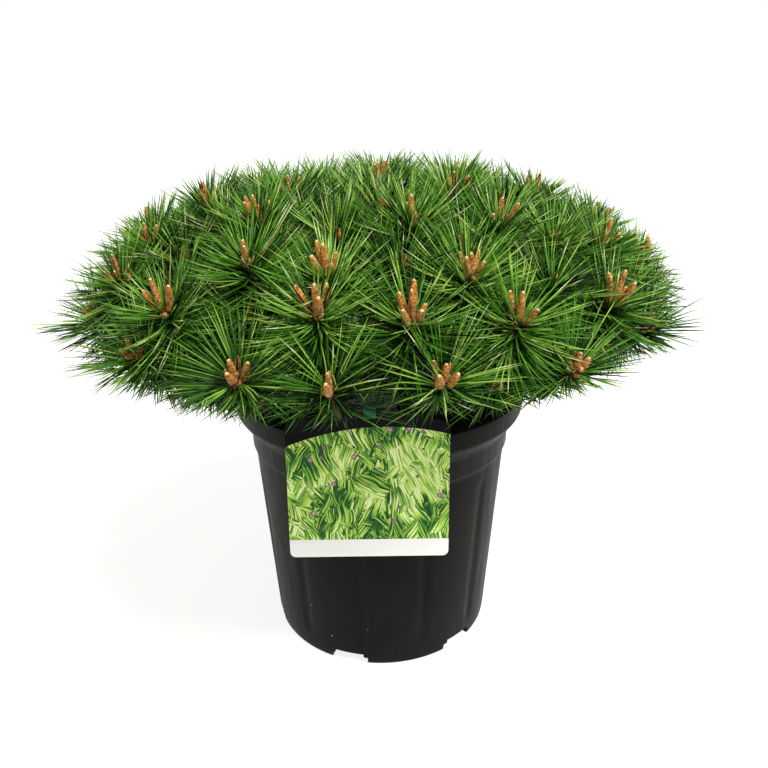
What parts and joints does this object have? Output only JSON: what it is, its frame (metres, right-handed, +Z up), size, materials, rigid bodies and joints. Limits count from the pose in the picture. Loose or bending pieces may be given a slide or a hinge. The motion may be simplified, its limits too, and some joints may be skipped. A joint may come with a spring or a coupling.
{
  "type": "potted dwarf spreading pine",
  "caption": "Low, cushion-shaped dwarf pine with long paired needles and upright brown candles, in a round black nursery pot with a label card.",
  "frame": {"origin": "centre of the pot's flat underside", "axes": "+Z up, the label card faces -Y, +X to the right seen from the label side"},
  "size_m": [0.5725, 0.5789, 0.4635],
  "materials": {
    "pot_plastic": "moulded black polypropylene, satin, fine scuffs",
    "potting_soil": "loose dark peat and bark",
    "label_print": "printed plastic card",
    "bark": "rough flaking bark",
    "needles": "waxy green needles",
    "candles": "papery brown bud scales"
  },
  "bodies": {
    "root": {"pot": "pot_plastic", "soil": "potting_soil", "label_card": "label_print", "trunk": "bark", "bough_low_01": "bark", "bough_low_02": "bark", "bough_low_03": "bark", "bough_low_04": "bark", "bough_low_05": "bark", "bough_low_06": "bark", "bough_low_07": "bark", "bough_low_08": "bark", "bough_low_09": "bark", "bough_low_10": "bark", "bough_high_01": "bark", "bough_high_02": "bark", "bough_high_03": "bark", "bough_high_04": "bark", "bough_high_05": "bark", "bough_high_06": "bark", "foliage_low_01": "needles", "foliage_low_02": "needles", "foliage_low_03": "needles", "foliage_low_04": "needles", "foliage_low_05": "needles", "foliage_low_06": "needles", "foliage_low_07": "needles", "foliage_low_08": "needles", "foliage_low_09": "needles", "foliage_low_10": "needles", "foliage_high_01": "needles", "foliage_high_02": "needles", "foliage_high_03": "needles", "foliage_high_04": "needles", "foliage_high_05": "needles", "foliage_high_06": "needles", "foliage_top_01": "needles"}
  },
  "joints": []
}
